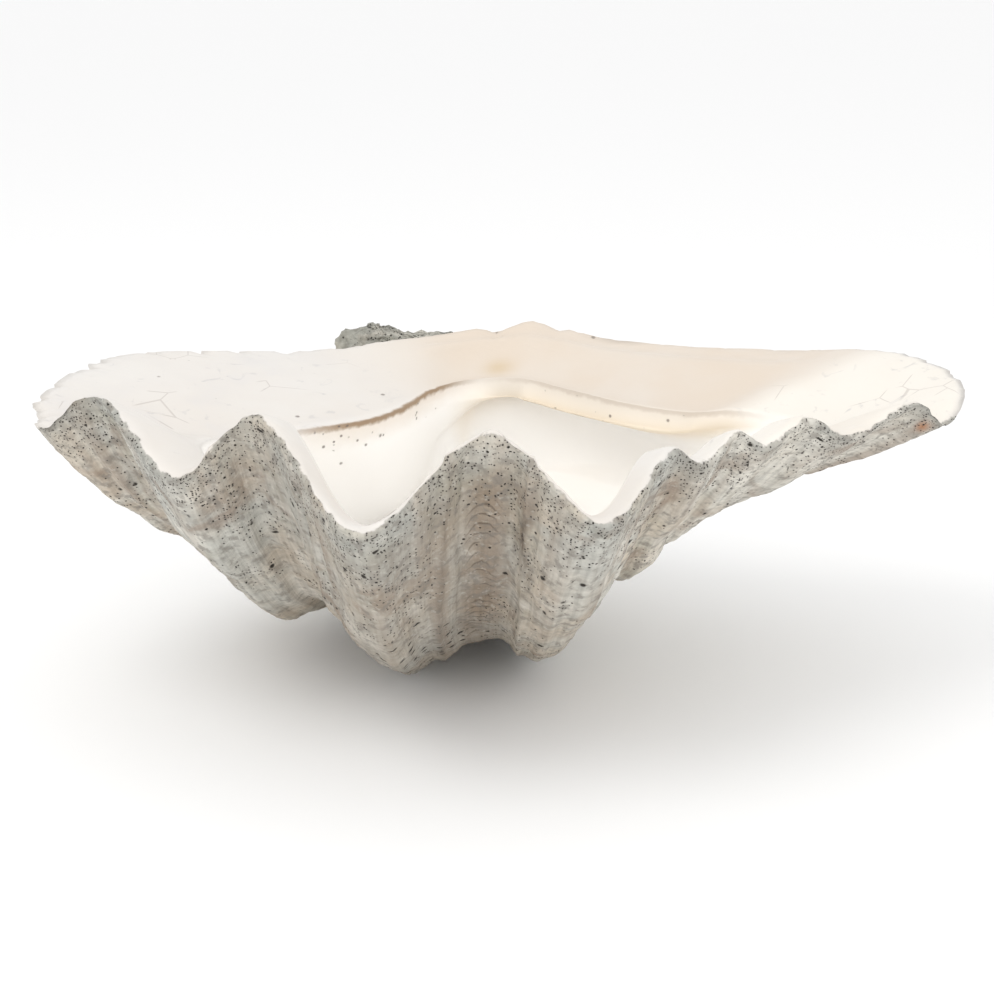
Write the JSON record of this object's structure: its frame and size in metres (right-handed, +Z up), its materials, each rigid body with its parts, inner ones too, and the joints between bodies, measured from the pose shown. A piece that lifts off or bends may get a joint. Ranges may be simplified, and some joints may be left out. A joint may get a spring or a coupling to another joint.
{
  "type": "giant clam shell",
  "caption": "One valve of a giant clam, lying on its ribs with the bowl open upwards: deep folds, a scalloped lip, a thick hinge shelf and a coiled beak.",
  "frame": {"origin": "middle of the bounding box's base, on the surface that the valve rests on", "axes": "+Z up out of the open bowl, +X along the hinge line towards the long plain arm, -Y towards the folded free edge"},
  "size_m": [0.5966, 0.4942, 0.2149],
  "materials": {
    "shell": "chalky and pitted outside, smooth and porcelain-like inside"
  },
  "bodies": {
    "root": {"valve": "shell"}
  },
  "joints": []
}
